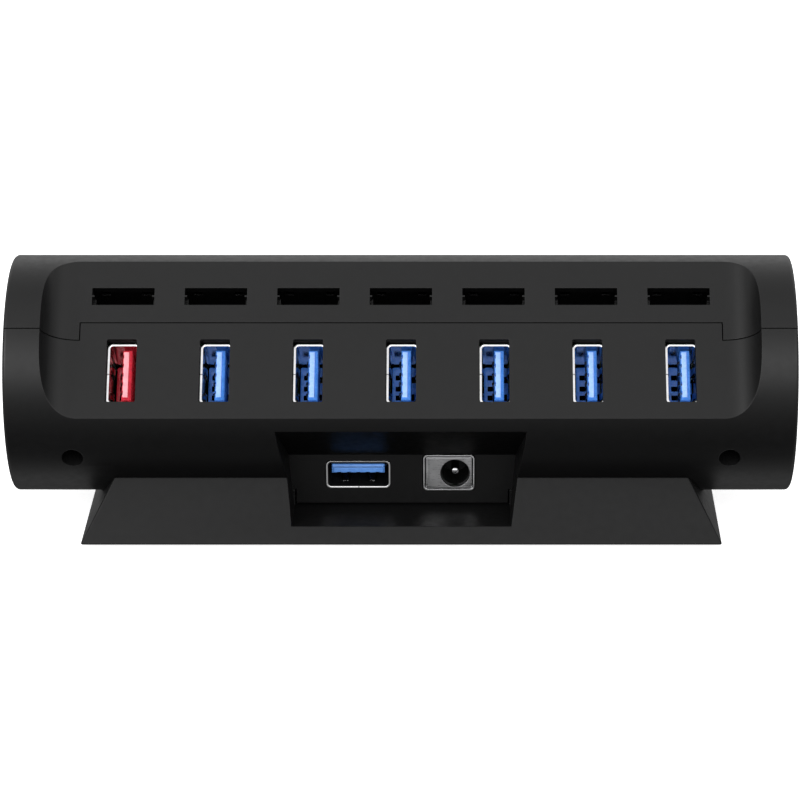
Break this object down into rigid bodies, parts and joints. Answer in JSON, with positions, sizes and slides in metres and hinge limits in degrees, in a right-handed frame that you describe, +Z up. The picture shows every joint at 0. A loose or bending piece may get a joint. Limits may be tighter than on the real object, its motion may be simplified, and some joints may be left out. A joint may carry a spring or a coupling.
{
  "type": "usb hub",
  "caption": "Barrel-shaped desktop USB hub on a trapezoid foot: a tilted face with upright ports under card slots, and a bay below with the upstream port and power inlet.",
  "frame": {"origin": "on the desk, under the middle of the barrel", "axes": "+X along the barrel (right, seen from the ports), -Y towards the user, +Z up"},
  "size_m": [0.161, 0.0502, 0.0538],
  "materials": {
    "casing_black": "fine satin texture",
    "foot_black": "fine satin texture",
    "rubber_black": "matte",
    "connector_steel": "nickel plated sheet",
    "screw_steel": "black zinc",
    "socket_steel": "tin plated sheet",
    "core_blue": "satin moulded nylon",
    "core_red": "satin moulded nylon",
    "jack_plastic": "moulded",
    "slider_black": "moulded",
    "board_green": "solder mask",
    "chip_black": "moulded epoxy",
    "ribbon_white": "flat cable"
  },
  "bodies": {
    "housing": {"upper_shell": "casing_black", "lower_shell": "casing_black", "foot": "foot_black", "main_board": "board_green", "card_board": "board_green", "inlet_board": "board_green", "card_header": "chip_black", "hub_chip": "chip_black", "reader_chip": "chip_black", "power_inductor": "chip_black", "power_capacitor": "socket_steel", "link_ribbon": "ribbon_white", "upstream_shell": "connector_steel", "upstream_core": "core_blue", "dc_jack_frame": "connector_steel", "dc_jack_body": "jack_plastic", "dc_jack_pin": "connector_steel", "rubber_foot_1": "rubber_black", "shell_screw_1": "screw_steel", "foot_screw_1": "screw_steel", "rubber_foot_2": "rubber_black", "shell_screw_2": "screw_steel", "foot_screw_2": "screw_steel", "rubber_foot_3": "rubber_black", "shell_screw_3": "screw_steel", "foot_screw_3": "screw_steel", "rubber_foot_4": "rubber_black", "shell_screw_4": "screw_steel", "foot_screw_4": "screw_steel", "board_screw_1": "screw_steel", "board_screw_2": "screw_steel", "usb_shell_1": "connector_steel", "usb_core_1": "core_red", "card_socket_1": "socket_steel", "usb_shell_2": "connector_steel", "usb_core_2": "core_blue", "card_socket_2": "socket_steel", "usb_shell_3": "connector_steel", "usb_core_3": "core_blue", "card_socket_3": "socket_steel", "usb_shell_4": "connector_steel", "usb_core_4": "core_blue", "card_socket_4": "socket_steel", "usb_shell_5": "connector_steel", "usb_core_5": "core_blue", "card_socket_5": "socket_steel", "usb_shell_6": "connector_steel", "usb_core_6": "core_blue", "card_socket_6": "socket_steel", "usb_shell_7": "connector_steel", "usb_core_7": "core_blue", "card_socket_7": "socket_steel"},
    "slider_1": {"card_slider_1": "slider_black"},
    "slider_2": {"card_slider_2": "slider_black"},
    "slider_3": {"card_slider_3": "slider_black"},
    "slider_4": {"card_slider_4": "slider_black"},
    "slider_5": {"card_slider_5": "slider_black"},
    "slider_6": {"card_slider_6": "slider_black"},
    "slider_7": {"card_slider_7": "slider_black"}
  },
  "joints": [
    {"name": "card_eject_1", "type": "slide", "parent": "housing", "child": "slider_1", "axis": [0, 0.7408, -0.6717], "range_m": [0, 0.0022], "stiffness_N_per_m": 50, "springref_m": -0.001},
    {"name": "card_eject_2", "type": "slide", "parent": "housing", "child": "slider_2", "axis": [0, 0.7408, -0.6717], "range_m": [0, 0.0022], "stiffness_N_per_m": 50, "springref_m": -0.001},
    {"name": "card_eject_3", "type": "slide", "parent": "housing", "child": "slider_3", "axis": [0, 0.7408, -0.6717], "range_m": [0, 0.0022], "stiffness_N_per_m": 50, "springref_m": -0.001},
    {"name": "card_eject_4", "type": "slide", "parent": "housing", "child": "slider_4", "axis": [0, 0.7408, -0.6717], "range_m": [0, 0.0022], "stiffness_N_per_m": 50, "springref_m": -0.001},
    {"name": "card_eject_5", "type": "slide", "parent": "housing", "child": "slider_5", "axis": [0, 0.7408, -0.6717], "range_m": [0, 0.0022], "stiffness_N_per_m": 50, "springref_m": -0.001},
    {"name": "card_eject_6", "type": "slide", "parent": "housing", "child": "slider_6", "axis": [0, 0.7408, -0.6717], "range_m": [0, 0.0022], "stiffness_N_per_m": 50, "springref_m": -0.001},
    {"name": "card_eject_7", "type": "slide", "parent": "housing", "child": "slider_7", "axis": [0, 0.7408, -0.6717], "range_m": [0, 0.0022], "stiffness_N_per_m": 50, "springref_m": -0.001}
  ]
}
